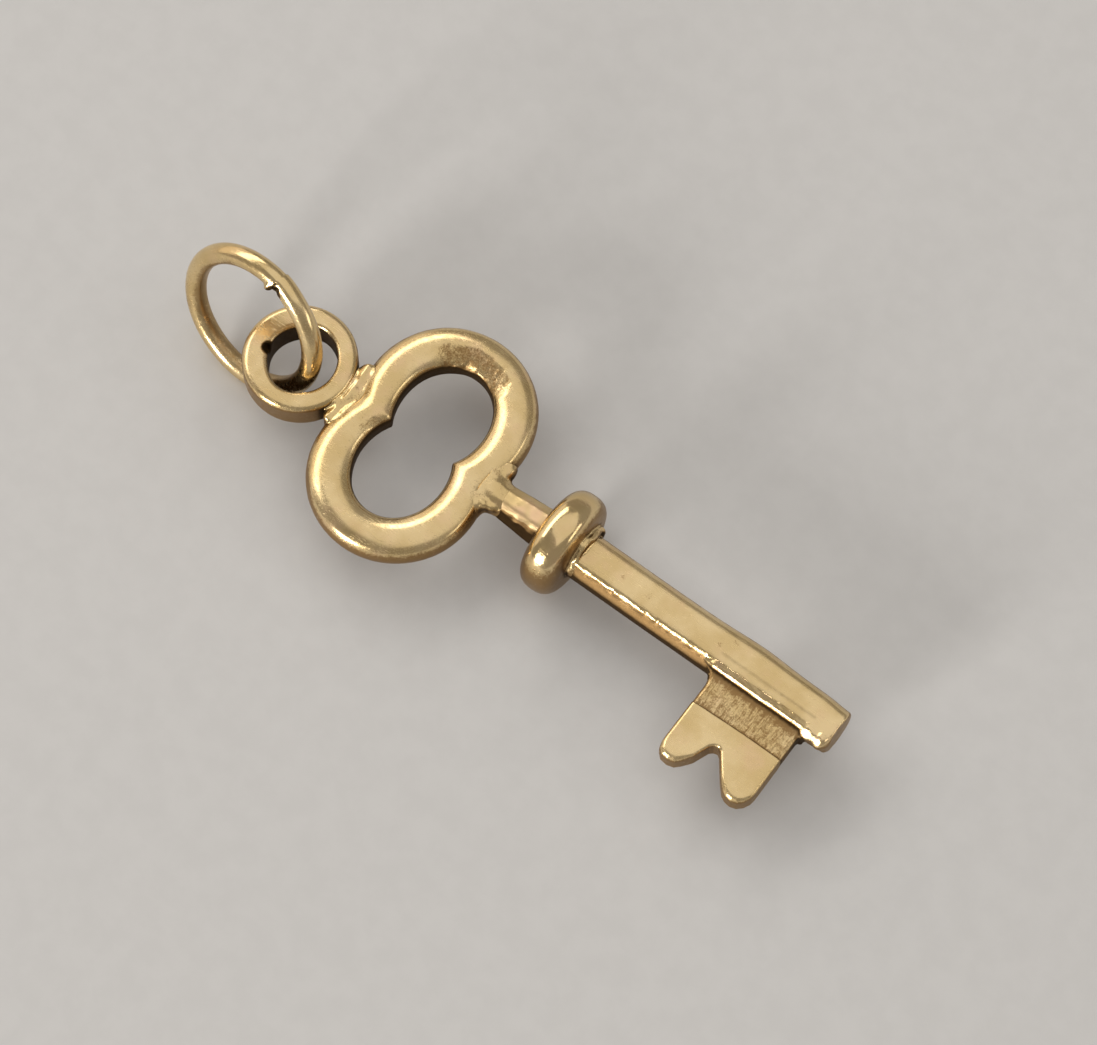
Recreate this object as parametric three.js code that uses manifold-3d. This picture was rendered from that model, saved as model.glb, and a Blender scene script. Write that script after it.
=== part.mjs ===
// Small gold key charm lying on its flat: jump ring, hanging loop, figure-eight bow,
// neck, collar, shank and two-toothed bit, with the hard solder that joins them.
// Millimetres. +X runs from the jump ring to the tip, the bit points to -Y, +Z is up.
// The key is laid out round the shank axis with the collar centre at X = 0, and is
// moved at the end so that the middle of its lowest level is the origin.
import * as THREE from 'three';
import { mergeVertices } from 'three/addons/utils/BufferGeometryUtils.js';
import Module from 'manifold-3d';

const wasm = await Module();
wasm.setup();

// ---------------------------------------------------------------- driving dimensions
const CONTACT = 0.02; // clearance left between pieces that meet face to face
const SINK = 0.3; // how far a cutter or a root reaches past the face it meets

const COLLAR_RADIUS = 2.13;
const COLLAR_FACE_RADIUS = 1.42;
const COLLAR_WIDTH = 1.58;

const SHANK_RADIUS = 0.97;
const SHANK_LENGTH = 11.84;
const SHANK_TIP_RADIUS = 0.9;
const SHANK_TIP_TAPER = 1.1; // length over which the shank narrows to its tip
const SHANK_FLAT_HEIGHT = 0.8; // height of the soft flat above the shank axis
const SHANK_BULGE = 0.09; // swelling on the side away from the bit
const SHANK_BULGE_STATION = 7.8; // from the start of the shank
const SHANK_BULGE_REACH = 1.5;
const SHANK_EDGE = 0.14; // rounding of the two end faces

const NECK_LENGTH = 2.72;
const NECK_RADIUS_AT_BOW = 0.56;
const NECK_RADIUS_AT_COLLAR = 0.8;
const NECK_SQUARENESS = 2.5; // 2 is round, larger is squarer

const BOW_LOBE_RADIUS = 3.45;
const BOW_LOBE_OFFSET = 1.6; // each lobe from the waist
const BOW_SHIFT = -0.04; // waist from the shank axis
const BOW_THICKNESS = 1.5;
const BOW_OUTER_BEVEL = 0.55;
const BOW_HOLE_HALF_WIDTH = 1.78;
const BOW_HOLE_HALF_LENGTH = 2.1;
const BOW_HOLE_OFFSET = 1.28;
const BOW_INNER_BEVEL = 0.48;
const BOW_INNER_BEVEL_DEPTH = 0.4;

const LOOP_OUTER_RADIUS = 2.22;
const LOOP_HOLE_RADIUS = 1.43;
const LOOP_THICKNESS = 1.5;
const LOOP_ROUNDING = 0.32;
const LOOP_SHIFT = -0.17;
const LOOP_FROM_BOW = 0.45; // loop's rim to the bow's waist, bridged by solder

const RING_RADIUS = 2.912; // to the centre of the wire
const RING_WIRE_RADIUS = 0.41;
const RING_FROM_LOOP = new THREE.Vector3(-2.24, 0.05, 1.02); // centre, from the loop's
const RING_LEAN = 21.5; // degrees the ring leans from upright, towards +Y
const RING_TURN = -5; // degrees about Z between the ring's level chord and +X
const RING_SEAM_ANGLE = 79; // degrees up from the level chord
const RING_SEAM_GAP = 0.07;
const RING_SEAM_STEP = 0.1; // sideways mismatch of the two wire ends

const BIT_STATION = 6.8; // start of the bit along the shank
const BIT_WIDTH = 3.96;
const BIT_REACH = 4.66; // tooth tips below the shank axis
const BIT_STEP_REACH = 2.26; // end of the thinner root band
const BIT_THICKNESS = 1.12;
const BIT_ROOT_THICKNESS = 0.84;
const BIT_BEVEL = 0.11;
const BIT_ROOT_FILLET = 0.45;
const BIT_NOTCH_REACH = 3.21; // bottom of the V notch below the shank axis
const BIT_NOTCH_STATION = 0.445; // share of the bit width
const BIT_NOTCH_FLAT = 0.2;
const BIT_LEFT_TOOTH = 1.1;
const BIT_RIGHT_TOOTH = 0.95;
const BIT_TOOTH_ROUNDING = 0.34;
const BIT_RIGHT_TOOTH_SHORT = 0.09;

const SOLDER_RELIEF = 0.07; // unevenness of the solder lumps, share of their size
const LOOP_SOLDER_HALF_HEIGHT = 0.6;
const COLLAR_SOLDER_COVER = 0.94; // share of the collar's face that it covers
const BIT_SOLDER_UP = 0.68; // half height of the bit's solder where it starts on the shank
const BIT_SOLDER_TOP = 0.7; // its level below the shank axis there
const BIT_SOLDER_FOOT = 1.2; // its level below the shank axis on the bit
const BIT_SOLDER_SPREAD = 0.5; // how far it runs past the bit on the shank
const BIT_SOLDER_FEATHER = 0.05; // what is left of it at its foot

// ---------------------------------------------------------------- facet counts
const ROUND_SEGMENTS = 48;
const SHAFT_SEGMENTS = 28;
const EDGE_STEPS = 3;
const LUMP_SEGMENTS = 12;
const RING_STEPS = 56;
const RING_WIRE_SEGMENTS = 6; // in each half turn

// ---------------------------------------------------------------- stations along X
const COLLAR_LEFT = -COLLAR_WIDTH / 2;
const COLLAR_RIGHT = COLLAR_WIDTH / 2;
const SHANK_START = COLLAR_RIGHT + CONTACT;
const NECK_END = COLLAR_LEFT - CONTACT;
const NECK_START = NECK_END - NECK_LENGTH;
const BOW_WAIST_HALF = Math.sqrt(BOW_LOBE_RADIUS ** 2 - BOW_LOBE_OFFSET ** 2);
const BOW_X = NECK_START - CONTACT - BOW_WAIST_HALF;
const LOOP_X = BOW_X - BOW_WAIST_HALF - LOOP_FROM_BOW - LOOP_OUTER_RADIUS;
const BIT_X = SHANK_START + BIT_STATION;

// ---------------------------------------------------------------- materials
const finish = (color, roughness) =>
  new THREE.MeshStandardMaterial({ color, roughness, metalness: 1 });
const POLISHED_GOLD = finish('#d6b984', 0.28);
const FILED_GOLD = finish('#c8aa74', 0.42);
const WIRE_GOLD = finish('#d2b47e', 0.25);
const SOLDER_GOLD = finish('#a98f62', 0.5);

// ---------------------------------------------------------------- solids
function toSolid(geometry) {
  const bare = geometry.clone();
  bare.deleteAttribute('normal');
  bare.deleteAttribute('uv');
  const merged = mergeVertices(bare, 1e-4);
  const faces = [];
  const index = merged.index.array;
  for (let i = 0; i < index.length; i += 3) {
    const [a, b, c] = [index[i], index[i + 1], index[i + 2]];
    if (a !== b && b !== c && c !== a) faces.push(a, b, c);
  }
  const make = (triangles) =>
    new wasm.Manifold(new wasm.Mesh({
      numProp: 3,
      vertProperties: Float32Array.from(merged.attributes.position.array),
      triVerts: Uint32Array.from(triangles),
    }));
  const solid = make(faces);
  return solid.volume() > 0 ? solid : make(faces.reverse());
}

function joined(solids) {
  return solids.reduce((whole, solid) => whole.add(solid));
}

function cutBy(solid, cutters) {
  return cutters.reduce((rest, cutter) => rest.subtract(cutter), solid);
}

function toGeometry(solid) {
  const mesh = solid.getMesh();
  const geometry = new THREE.BufferGeometry();
  const positions = new THREE.BufferAttribute(Float32Array.from(mesh.vertProperties), 3);
  geometry.setAttribute('position', positions);
  geometry.setIndex(new THREE.BufferAttribute(Uint32Array.from(mesh.triVerts), 1));
  geometry.computeVertexNormals();
  return geometry;
}

function reshape(geometry, move) {
  const positions = geometry.attributes.position;
  const point = new THREE.Vector3();
  for (let i = 0; i < positions.count; i += 1) {
    point.fromBufferAttribute(positions, i);
    move(point);
    positions.setXYZ(i, point.x, point.y, point.z);
  }
  return geometry;
}

// Turned body about X from a profile of [x, radius] pairs that starts and ends on the axis.
function turnedAlongX(profile, segments) {
  const points = profile.map(([x, radius]) => new THREE.Vector2(radius, x));
  return new THREE.LatheGeometry(points, segments).rotateZ(-Math.PI / 2);
}

// Turned body about Z from a profile of [radius, z] pairs.
function turnedAboutZ(profile, segments) {
  const points = profile.map(([radius, z]) => new THREE.Vector2(radius, z));
  return new THREE.LatheGeometry(points, segments).rotateX(Math.PI / 2);
}

// Quarter-round corner from angle `from` to angle `to` (degrees) about a centre.
function corner(x, y, radius, from, to, radiusY = radius) {
  const points = [];
  for (let i = 0; i <= EDGE_STEPS; i += 1) {
    const angle = THREE.MathUtils.degToRad(from + ((to - from) * i) / EDGE_STEPS);
    points.push([x + radius * Math.cos(angle), y + radiusY * Math.sin(angle)]);
  }
  return points;
}

// Uneven drop of solder.
function lump(centre, size, seed) {
  const geometry = new THREE.SphereGeometry(1, LUMP_SEGMENTS, LUMP_SEGMENTS - 6);
  reshape(geometry, (p) => {
    const wave = Math.sin(5 * p.x + seed) + Math.sin(6 * p.y - 2 * seed) + Math.cos(5 * p.z + 3 * seed);
    p.multiplyScalar(1 + SOLDER_RELIEF * wave);
    p.set(p.x * size[0], p.y * size[1], p.z * size[2]);
  });
  return toSolid(geometry.translate(...centre));
}

// ---------------------------------------------------------------- turned pieces
function makeCollar(grow = 0) {
  const half = COLLAR_WIDTH / 2 + grow;
  const profile = [[-half, 0]];
  const steps = 4 * EDGE_STEPS;
  for (let i = 0; i <= steps; i += 1) {
    const across = -Math.cos((Math.PI * i) / steps);
    const crown = (1 - Math.abs(across) ** 2.6) ** 0.5;
    const radius = COLLAR_FACE_RADIUS + (COLLAR_RADIUS - COLLAR_FACE_RADIUS) * crown;
    profile.push([half * across, radius + grow]);
  }
  profile.push([half, 0]);
  return toSolid(turnedAlongX(profile, ROUND_SEGMENTS));
}

function makeShank(grow = 0) {
  const radius = SHANK_RADIUS + grow;
  const start = SHANK_START - grow;
  const end = SHANK_START + SHANK_LENGTH + grow;
  const middle = [];
  for (let i = 1; i < 12; i += 1) {
    const x = SHANK_START + SHANK_BULGE_STATION + (SHANK_BULGE_REACH * 2 * (i - 6)) / 6;
    if (x > start + SHANK_EDGE && x < end - SHANK_TIP_TAPER) middle.push([x, radius]);
  }
  const tip = radius - SHANK_RADIUS + SHANK_TIP_RADIUS;
  const profile = [
    [start, 0],
    ...corner(start + SHANK_EDGE, radius - SHANK_EDGE, SHANK_EDGE, 180, 90),
    ...middle,
    [end - SHANK_TIP_TAPER, radius],
    ...corner(end - SHANK_EDGE, tip - SHANK_EDGE, SHANK_EDGE, 90, 0),
    [end, 0],
  ];
  const rod = turnedAlongX(profile, SHAFT_SEGMENTS);
  reshape(rod, (p) => {
    const along = (p.x - SHANK_START - SHANK_BULGE_STATION) / SHANK_BULGE_REACH;
    p.y += SHANK_BULGE * Math.exp(-along * along) * Math.max(0, p.y / SHANK_RADIUS);
  });
  const above = new THREE.BoxGeometry(SHANK_LENGTH + 2, 4 * SHANK_RADIUS, SHANK_RADIUS);
  const height = SHANK_FLAT_HEIGHT + grow + SHANK_RADIUS / 2;
  above.translate(SHANK_START + SHANK_LENGTH / 2, 0, height);
  return cutBy(toSolid(rod), [toSolid(above)]);
}

function makeNeckRod(grow = 0) {
  const steps = 6;
  const profile = [[NECK_START - SINK - grow, 0]];
  for (let i = 0; i <= steps; i += 1) {
    const share = i / steps;
    const radius = THREE.MathUtils.lerp(NECK_RADIUS_AT_BOW, NECK_RADIUS_AT_COLLAR, share ** 1.3);
    const x = THREE.MathUtils.lerp(NECK_START - SINK - grow, NECK_END + grow, share);
    profile.push([x, radius + grow]);
  }
  profile.push([NECK_END + grow, 0]);
  const rod = turnedAlongX(profile, SHAFT_SEGMENTS);
  reshape(rod, (p) => {
    const radius = Math.hypot(p.y, p.z);
    if (radius === 0) return;
    const square = Math.abs(p.y / radius) ** NECK_SQUARENESS
      + Math.abs(p.z / radius) ** NECK_SQUARENESS;
    const scale = square ** (-1 / NECK_SQUARENESS);
    p.y *= scale;
    p.z *= scale;
  });
  return toSolid(rod);
}

function makeNeck() {
  return cutBy(makeNeckRod(), [makeBowOutline(CONTACT)]);
}

// ---------------------------------------------------------------- bow
// The bow's body without its hole: two crowned discs side by side.
function makeBowOutline(grow = 0) {
  const half = BOW_THICKNESS / 2 + grow;
  const flat = BOW_LOBE_RADIUS - BOW_OUTER_BEVEL;
  const bevel = BOW_OUTER_BEVEL + grow;
  const profile = [
    [0, -half],
    ...corner(flat, 0, bevel, -90, 0, half),
    ...corner(flat, 0, bevel, 0, 90, half).slice(1),
    [0, half],
  ];
  const lobes = [-1, 1].map((side) => {
    const disc = turnedAboutZ(profile, ROUND_SEGMENTS);
    return toSolid(disc.translate(BOW_X, BOW_SHIFT + side * BOW_LOBE_OFFSET, 0));
  });
  return joined(lobes);
}

// The hole flares towards both faces.
function makeBowHole() {
  const half = BOW_THICKNESS / 2;
  const throat = half - BOW_INNER_BEVEL_DEPTH;
  const profile = [
    [0, -half - SINK],
    [BOW_HOLE_HALF_WIDTH + BOW_INNER_BEVEL, -half - SINK],
    [BOW_HOLE_HALF_WIDTH + BOW_INNER_BEVEL, -half],
    [BOW_HOLE_HALF_WIDTH + BOW_INNER_BEVEL * 0.35, -throat - BOW_INNER_BEVEL_DEPTH * 0.45],
    [BOW_HOLE_HALF_WIDTH, -throat],
    [BOW_HOLE_HALF_WIDTH, throat],
    [BOW_HOLE_HALF_WIDTH + BOW_INNER_BEVEL * 0.35, throat + BOW_INNER_BEVEL_DEPTH * 0.45],
    [BOW_HOLE_HALF_WIDTH + BOW_INNER_BEVEL, half],
    [BOW_HOLE_HALF_WIDTH + BOW_INNER_BEVEL, half + SINK],
    [0, half + SINK],
  ];
  const stretch = BOW_HOLE_HALF_LENGTH - BOW_HOLE_HALF_WIDTH;
  const holes = [-1, 1].map((side) => {
    const plug = turnedAboutZ(profile, ROUND_SEGMENTS);
    reshape(plug, (p) => {
      const radius = Math.hypot(p.x, p.y);
      if (radius > 0) p.y += (stretch * p.y) / radius;
    });
    return toSolid(plug.translate(BOW_X, BOW_SHIFT + side * BOW_HOLE_OFFSET, 0));
  });
  return joined(holes);
}

function makeBow() {
  return cutBy(makeBowOutline(), [makeBowHole()]);
}

// ---------------------------------------------------------------- loop and jump ring
function makeLoop(grow = 0) {
  const half = LOOP_THICKNESS / 2;
  const outer = LOOP_OUTER_RADIUS - LOOP_ROUNDING;
  const inner = LOOP_HOLE_RADIUS + LOOP_ROUNDING;
  const level = half - LOOP_ROUNDING;
  const edge = LOOP_ROUNDING + grow;
  const profile = [
    ...corner(outer, -level, edge, -90, 0),
    ...corner(outer, level, edge, 0, 90),
    ...corner(inner, level, edge, 90, 180),
    ...corner(inner, -level, edge, 180, 270),
  ];
  profile.push(profile[0]);
  return toSolid(turnedAboutZ(profile, ROUND_SEGMENTS).translate(LOOP_X, LOOP_SHIFT, 0));
}

// Centre line of the bent wire: nearly a full turn, its ends a little out of line.
class WirePath extends THREE.Curve {
  getPoint(share, target = new THREE.Vector3()) {
    const gap = RING_SEAM_GAP / RING_RADIUS;
    const angle = THREE.MathUtils.degToRad(RING_SEAM_ANGLE) + gap / 2 + share * (2 * Math.PI - gap);
    const aside = RING_SEAM_STEP * (share - 0.5) * Math.abs(2 * share - 1) ** 3;
    return target.set(RING_RADIUS * Math.cos(angle), RING_RADIUS * Math.sin(angle), aside);
  }
}

function makeJumpRing() {
  const section = new THREE.Shape();
  section.absarc(0, 0, RING_WIRE_RADIUS, 0, 2 * Math.PI, false);
  const wire = new THREE.ExtrudeGeometry(section, {
    curveSegments: RING_WIRE_SEGMENTS,
    steps: RING_STEPS,
    extrudePath: new WirePath(),
  });
  wire.rotateX(THREE.MathUtils.degToRad(90 - RING_LEAN));
  wire.rotateZ(THREE.MathUtils.degToRad(RING_TURN));
  wire.translate(LOOP_X + RING_FROM_LOOP.x, LOOP_SHIFT + RING_FROM_LOOP.y, RING_FROM_LOOP.z);
  return toSolid(wire);
}

// ---------------------------------------------------------------- bit
function bitRootShape() {
  const fillet = BIT_ROOT_FILLET + BIT_BEVEL;
  const left = BIT_BEVEL;
  const right = BIT_WIDTH - BIT_BEVEL;
  const top = -SHANK_RADIUS / 2;
  const seam = -SHANK_RADIUS * 0.92;
  const shape = new THREE.Shape();
  shape.moveTo(left, -BIT_STEP_REACH - SINK);
  shape.lineTo(right, -BIT_STEP_REACH - SINK);
  shape.lineTo(right, seam - fillet * 0.3);
  shape.lineTo(right + fillet * 0.3, seam);
  shape.lineTo(right, top);
  shape.lineTo(left, top);
  shape.lineTo(left - fillet, seam);
  shape.absarc(left - fillet, seam - fillet, fillet, Math.PI / 2, 0, true);
  shape.closePath();
  return shape;
}

function bitPlateShape() {
  const inset = BIT_BEVEL;
  const left = inset;
  const right = BIT_WIDTH - inset;
  const step = -BIT_STEP_REACH - inset;
  const leftTip = -BIT_REACH + inset;
  const rightTip = leftTip + BIT_RIGHT_TOOTH_SHORT;
  const notchTop = -BIT_NOTCH_REACH + inset;
  const notch = BIT_WIDTH * BIT_NOTCH_STATION;
  const round = BIT_TOOTH_ROUNDING;
  const shape = new THREE.Shape();
  shape.moveTo(left, step);
  shape.lineTo(left, leftTip + round);
  shape.absarc(left + round, leftTip + round, round, Math.PI, 1.5 * Math.PI, false);
  shape.quadraticCurveTo(BIT_LEFT_TOOTH, leftTip, BIT_LEFT_TOOTH + round / 2, leftTip + 1.6 * round);
  shape.lineTo(notch - BIT_NOTCH_FLAT / 2 - inset, notchTop - 0.06);
  shape.quadraticCurveTo(notch, notchTop + 0.04, notch + BIT_NOTCH_FLAT / 2 + inset, notchTop - 0.1);
  shape.lineTo(right - BIT_RIGHT_TOOTH - round / 2, rightTip + round);
  shape.quadraticCurveTo(right - BIT_RIGHT_TOOTH, rightTip, right - round, rightTip);
  shape.absarc(right - round, rightTip + round, round, 1.5 * Math.PI, 2 * Math.PI, false);
  shape.lineTo(right, step);
  shape.closePath();
  return shape;
}

function bevelledPlate(shape, thickness, grow) {
  const bevel = BIT_BEVEL + grow;
  const plate = new THREE.ExtrudeGeometry(shape, {
    depth: thickness - 2 * BIT_BEVEL,
    bevelEnabled: true,
    bevelThickness: bevel,
    bevelSize: bevel,
    bevelSegments: 3,
    curveSegments: 5,
  });
  plate.translate(BIT_X, 0, -thickness / 2 + BIT_BEVEL);
  return toSolid(plate);
}

function makeBitBlank(grow = 0) {
  const plate = bevelledPlate(bitPlateShape(), BIT_THICKNESS, grow);
  const root = bevelledPlate(bitRootShape(), BIT_ROOT_THICKNESS, grow);
  return joined([plate, root]);
}

function makeBit() {
  return cutBy(makeBitBlank(), [makeShank(CONTACT)]);
}

// ---------------------------------------------------------------- solder
function makeLoopSolder() {
  const x = LOOP_X + LOOP_OUTER_RADIUS + LOOP_FROM_BOW * 0.4;
  const y = BOW_SHIFT + LOOP_SHIFT / 2;
  const high = LOOP_SOLDER_HALF_HEIGHT;
  const beads = [
    lump([x + 0.02, y - 0.95, 0], [0.42, 0.7, high * 0.9], 1.3),
    lump([x, y - 0.1, 0.02], [0.5, 0.85, high], 2.1),
    lump([x + 0.04, y + 0.8, 0], [0.4, 0.68, high * 0.85], 4.4),
  ];
  return cutBy(joined(beads), [makeLoop(CONTACT), makeBowOutline(CONTACT)]);
}

function makeBowSolder() {
  const x = NECK_START;
  const radius = NECK_RADIUS_AT_BOW;
  const beads = [
    lump([x + 0.15, BOW_SHIFT, 0], [0.62, radius + 0.42, radius + 0.08], 0.6),
    lump([x + 0.26, BOW_SHIFT + 1.35 * radius, 0.08], [0.36, 0.42, 0.44], 2.9),
    lump([x + 0.5, BOW_SHIFT - 0.85 * radius, 0.12], [0.5, 0.34, 0.42], 5.2),
  ];
  return cutBy(joined(beads), [makeBowOutline(CONTACT), makeNeckRod(CONTACT)]);
}

function makeCollarSolder() {
  const reach = COLLAR_FACE_RADIUS * COLLAR_SOLDER_COVER;
  const profile = [
    [COLLAR_RIGHT - SINK, 0],
    [COLLAR_RIGHT - SINK, reach],
    [COLLAR_RIGHT + 0.07, reach],
    [COLLAR_RIGHT + 0.2, reach * 0.95],
    [COLLAR_RIGHT + 0.32, SHANK_RADIUS + 0.15],
    [COLLAR_RIGHT + 0.38, SHANK_RADIUS + 0.06],
    [COLLAR_RIGHT + 0.38, 0],
  ];
  const flange = turnedAlongX(profile, SHAFT_SEGMENTS);
  reshape(flange, (p) => {
    const angle = Math.atan2(p.z, p.y);
    if (Math.hypot(p.y, p.z) < SHANK_RADIUS) return;
    const uneven = 1 + 0.035 * Math.sin(3 * angle + 0.8) + 0.02 * Math.sin(5 * angle);
    p.y *= uneven;
    p.z *= uneven;
    if (p.x > COLLAR_RIGHT) p.x += 0.04 * Math.sin(4 * angle + 1.1);
  });
  return cutBy(toSolid(flange), [makeCollar(CONTACT), makeShank(CONTACT)]);
}

function makeBitSolder() {
  const footHalf = BIT_ROOT_THICKNESS / 2 + BIT_SOLDER_FEATHER;
  const middleX = BIT_X + BIT_WIDTH / 2;
  const topHalf = BIT_WIDTH / 2 + BIT_SOLDER_SPREAD;
  const drop = BIT_SOLDER_FOOT - BIT_SOLDER_TOP;
  const wedge = new THREE.BoxGeometry(2 * topHalf, drop, 2 * BIT_SOLDER_UP, 14, 3, 6);
  reshape(wedge, (p) => {
    const share = 0.5 - p.y / drop;
    const narrow = THREE.MathUtils.lerp(topHalf, BIT_WIDTH / 2 + 2 * BIT_SOLDER_FEATHER, share);
    const level = THREE.MathUtils.lerp(BIT_SOLDER_UP, footHalf, share);
    const uneven = 1 + 0.05 * Math.sin(5.1 * p.x + 0.4) * (1 - share);
    p.x *= narrow / topHalf;
    p.z *= (level / BIT_SOLDER_UP) * uneven;
    p.y -= (BIT_SOLDER_TOP + BIT_SOLDER_FOOT) / 2;
    p.x += middleX;
  });
  const blobX = BIT_X + BIT_WIDTH + 0.3;
  const blob = lump([blobX, -SHANK_RADIUS * 0.72, 0.46], [0.5, 0.26, 0.3], 3.7);
  return cutBy(joined([toSolid(wedge), blob]), [makeShank(CONTACT), makeBitBlank(CONTACT)]);
}

// ---------------------------------------------------------------- the whole key
const PIECES = [
  ['jump_ring', makeJumpRing(), WIRE_GOLD],
  ['hanging_loop', makeLoop(), POLISHED_GOLD],
  ['loop_solder', makeLoopSolder(), SOLDER_GOLD],
  ['bow', makeBow(), POLISHED_GOLD],
  ['bow_solder', makeBowSolder(), SOLDER_GOLD],
  ['neck', makeNeck(), FILED_GOLD],
  ['collar', makeCollar(), POLISHED_GOLD],
  ['collar_solder', makeCollarSolder(), SOLDER_GOLD],
  ['shank', makeShank(), POLISHED_GOLD],
  ['bit', makeBit(), FILED_GOLD],
  ['bit_solder', makeBitSolder(), SOLDER_GOLD],
];

const key = new THREE.Group();
key.name = 'key_charm';
for (const [name, solid, material] of PIECES) {
  const mesh = new THREE.Mesh(toGeometry(solid), material.clone());
  mesh.name = name;
  key.add(mesh);
}

const size = new THREE.Box3().setFromObject(key);
const middle = size.getCenter(new THREE.Vector3());
for (const mesh of key.children) {
  mesh.geometry.translate(-middle.x, -middle.y, -size.min.z);
}

export default key;
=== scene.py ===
"""Small yellow gold key charm with a jump ring, on a pale table."""

import math

import bpy
import numpy as np
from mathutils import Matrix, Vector


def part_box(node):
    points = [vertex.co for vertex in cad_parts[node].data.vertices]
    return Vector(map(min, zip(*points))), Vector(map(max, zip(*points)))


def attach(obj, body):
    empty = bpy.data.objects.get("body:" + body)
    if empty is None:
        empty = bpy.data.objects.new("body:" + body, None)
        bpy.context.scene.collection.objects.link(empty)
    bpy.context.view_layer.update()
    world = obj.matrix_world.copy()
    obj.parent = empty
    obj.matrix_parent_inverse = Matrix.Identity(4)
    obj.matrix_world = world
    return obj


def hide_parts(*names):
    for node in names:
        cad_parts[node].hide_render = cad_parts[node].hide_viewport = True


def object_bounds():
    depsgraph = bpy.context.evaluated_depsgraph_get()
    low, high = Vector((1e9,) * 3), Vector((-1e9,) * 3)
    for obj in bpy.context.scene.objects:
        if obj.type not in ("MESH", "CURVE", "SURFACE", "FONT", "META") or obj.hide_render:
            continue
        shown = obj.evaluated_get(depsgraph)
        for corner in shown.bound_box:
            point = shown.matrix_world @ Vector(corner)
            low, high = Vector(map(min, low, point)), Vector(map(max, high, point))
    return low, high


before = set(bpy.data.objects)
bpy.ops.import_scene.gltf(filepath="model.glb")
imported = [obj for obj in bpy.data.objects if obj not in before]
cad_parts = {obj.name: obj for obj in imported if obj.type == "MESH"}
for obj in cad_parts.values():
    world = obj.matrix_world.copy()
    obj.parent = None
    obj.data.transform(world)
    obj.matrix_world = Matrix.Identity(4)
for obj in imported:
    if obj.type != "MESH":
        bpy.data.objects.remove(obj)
cad_low, cad_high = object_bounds()

# ------------------------------------------------------------------ where things are
# Shapes are worked out in millimetres, with X along the key, from the point of the
# shank axis at the collar's middle.
MM = 0.001
_low, _high = (np.array(v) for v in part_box("collar"))
AXIS = (_low + _high) / 2


def box(node):
    low, high = (np.array(v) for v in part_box(node))
    return (low - AXIS) / MM, (high - AXIS) / MM


def middle(node):
    low, high = box(node)
    return (low + high) / 2


COLLAR_HALF = (box("collar")[1][0] - box("collar")[0][0]) / 2
COLLAR_RADIUS = box("collar")[1][1]
SHANK_START = box("shank")[0][0]
SHANK_END = box("shank")[1][0]
SHANK_FLAT = box("shank")[1][2]
SHANK_RADIUS = -box("shank")[0][2]
NECK_END = box("neck")[1][0]
BOW = middle("bow")
BOW_HALF = BOW[2] - box("bow")[0][2]
BOW_LOBE = (box("bow")[1][0] - box("bow")[0][0]) / 2
BOW_OFFSET = (box("bow")[1][1] - box("bow")[0][1]) / 2 - BOW_LOBE
LOOP = middle("hanging_loop")
LOOP_OUTER = (box("hanging_loop")[1][0] - box("hanging_loop")[0][0]) / 2
LOOP_HALF = LOOP[2] - box("hanging_loop")[0][2]
RING = middle("jump_ring")
BIT_FROM_COLLAR = 6.8
BIT_X = SHANK_START + BIT_FROM_COLLAR
BIT_WIDTH = 3.96


# ------------------------------------------------------------------ field tools
TINY = 1e-6  # keeps a division away from nought


def lattice(i, j, k, seed):
    """Random value from -1 to 1 at each whole-numbered point."""
    h = (i * 374761393 + j * 668265263 + k * 1440662683 + seed * 362437).astype(np.uint32)
    h = (h ^ (h >> np.uint32(13))) * np.uint32(1274126177)
    h = (h ^ (h >> np.uint32(16))) * np.uint32(2246822519)
    return (h ^ (h >> np.uint32(13))).astype(np.float64) / 2147483647.5 - 1


def noise(p, size, seed=0):
    """Smooth noise from -1 to 1; size is one number or three, in millimetres."""
    q = p / np.asarray(size, float)
    base = np.floor(q)
    f = q - base
    f = f * f * f * (f * (f * 6 - 15) + 10)
    i, j, k = (base[..., a].astype(np.int64) for a in range(3))
    total = 0
    for a in (0, 1):
        for b in (0, 1):
            for c in (0, 1):
                weight = (f[..., 0] if a else 1 - f[..., 0])
                weight = weight * (f[..., 1] if b else 1 - f[..., 1])
                weight = weight * (f[..., 2] if c else 1 - f[..., 2])
                total = total + weight * lattice(i + a, j + b, k + c, seed)
    return total


def relief(p, spec):
    """Unevenness from its height, its grain size in millimetres and its seed."""
    height, size, seed = spec
    return height * noise(p, size, seed)


def hump(x, at, width, power=2):
    """Rise to 1 at that place, falling off to both sides."""
    return np.exp(-(((x - at) / width) ** power))


def smin(a, b, k):
    """The lesser of a and b, blended over k where they meet."""
    h = np.clip(0.5 + 0.5 * (b - a) / k, 0, 1)
    return b * (1 - h) + a * h - k * h * (1 - h)


def smax(a, b, k):
    return -smin(-a, -b, k)


def smooth(low, high, x):
    """From 0 at low to 1 at high, in either direction."""
    t = np.clip((x - low) / (high - low), 0, 1)
    return t * t * (3 - 2 * t)


def rounded(a, b, k):
    """Where both a and b hold, with their corner rounded to radius k."""
    corner = np.hypot(np.maximum(a + k, 0), np.maximum(b + k, 0))
    return np.minimum(np.maximum(a, b), -k) + corner


def chamfer(side, height, width, depth):
    """Slope that takes width off the top and depth off the side of an edge."""
    return ((side + width) * depth + height * width) / np.hypot(width, depth)


def ellipsoid(p, centre, size):
    q = (p - np.array(centre)) / np.array(size)
    r = np.linalg.norm(q, axis=-1)
    return (r - 1) * min(size)


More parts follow.
